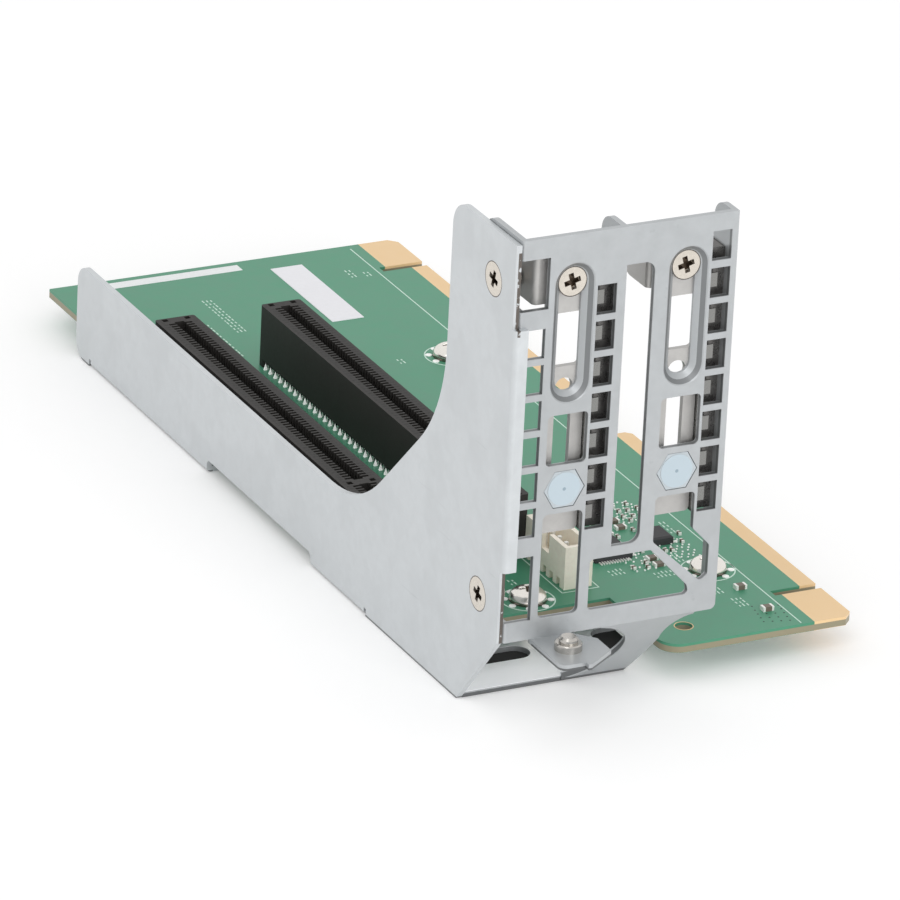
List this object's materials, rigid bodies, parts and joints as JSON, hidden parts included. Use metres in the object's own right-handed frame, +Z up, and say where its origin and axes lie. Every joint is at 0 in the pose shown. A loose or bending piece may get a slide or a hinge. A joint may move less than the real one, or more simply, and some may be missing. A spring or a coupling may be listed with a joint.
{
  "type": "riser card",
  "caption": "Riser card: green circuit board with long card slots, carried by a folded steel bracket and a punched front plate.",
  "frame": {"origin": "middle of the bounding box's bottom, on the plane the card rests on", "axes": "+X from the side wall across the board to the edge fingers, +Y from the front plate to the back, +Z up"},
  "size_m": [0.0698, 0.1916, 0.0849],
  "materials": {
    "board_green": "satin",
    "slot_black": "satin",
    "contact_gold": "satin",
    "zinc_steel": "satin",
    "screw_steel": "satin",
    "spring_steel": "satin",
    "header_cream": "satin",
    "chip_black": "matte",
    "pin_tin": "satin",
    "part_body": "satin",
    "label_white": "matte"
  },
  "bodies": {
    "root": {"circuit_board": "board_green", "connector_housing_1": "slot_black", "connector_housing_2": "slot_black", "connector_contacts_1": "contact_gold", "connector_contacts_2": "contact_gold", "side_bracket": "zinc_steel", "front_plate": "zinc_steel", "guide_stud": "screw_steel", "retainer_strip_1": "zinc_steel", "retainer_strip_2": "zinc_steel", "spring_strip_1": "spring_steel", "spring_strip_2": "spring_steel", "hex_guide_1": "zinc_steel", "hex_guide_2": "zinc_steel", "retainer_screw_1": "screw_steel", "retainer_screw_2": "screw_steel", "side_screw_upper": "screw_steel", "side_screw_lower": "screw_steel", "board_screw_1": "screw_steel", "board_screw_2": "screw_steel", "board_screw_3": "screw_steel", "board_post_1": "screw_steel", "board_post_2": "screw_steel", "board_post_3": "screw_steel", "power_header": "header_cream", "header_pins": "pin_tin", "control_chip": "chip_black", "control_chip_pins": "pin_tin", "driver_chip": "chip_black", "driver_chip_pins": "pin_tin", "component_bodies": "part_body", "component_ends": "pin_tin", "blank_label": "label_white"}
  },
  "joints": []
}
